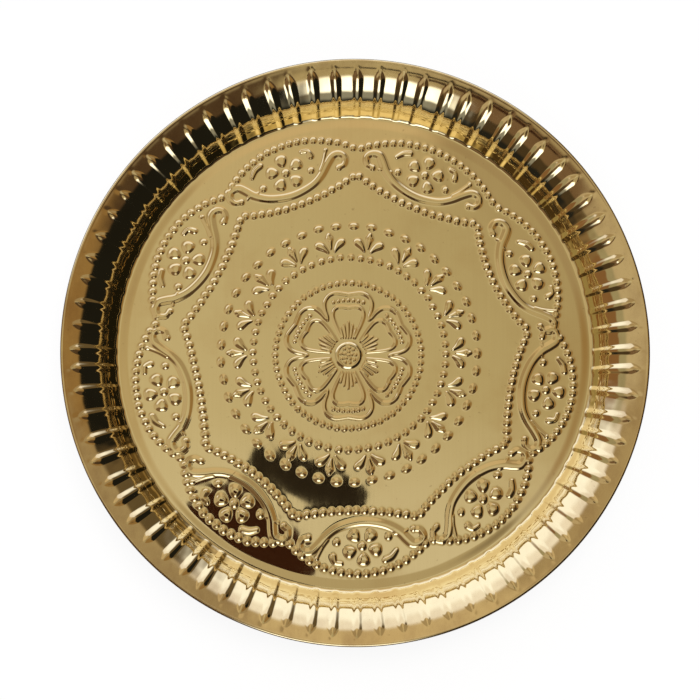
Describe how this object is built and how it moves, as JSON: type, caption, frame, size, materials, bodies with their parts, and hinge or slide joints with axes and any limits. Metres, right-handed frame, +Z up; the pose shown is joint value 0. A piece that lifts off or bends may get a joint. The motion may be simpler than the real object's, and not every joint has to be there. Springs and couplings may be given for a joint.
{
  "type": "serving tray",
  "caption": "Round brass serving tray with a flat embossed floor, a flared wall stiffened by narrow ribs and a rolled, wired rim.",
  "frame": {"origin": "centre of the flat underside of the floor, where the tray rests", "axes": "+Z up out of the tray's mouth; +X and +Y across it, with one of the nine panels 10 degrees from +X on the -Y side"},
  "size_m": [0.3, 0.3, 0.0223],
  "materials": {
    "brass": "polished, with fine straight rolling lines",
    "wire": "drawn wire, dull"
  },
  "bodies": {
    "root": {"tray_pan": "brass", "rim_wire": "wire"}
  },
  "joints": []
}
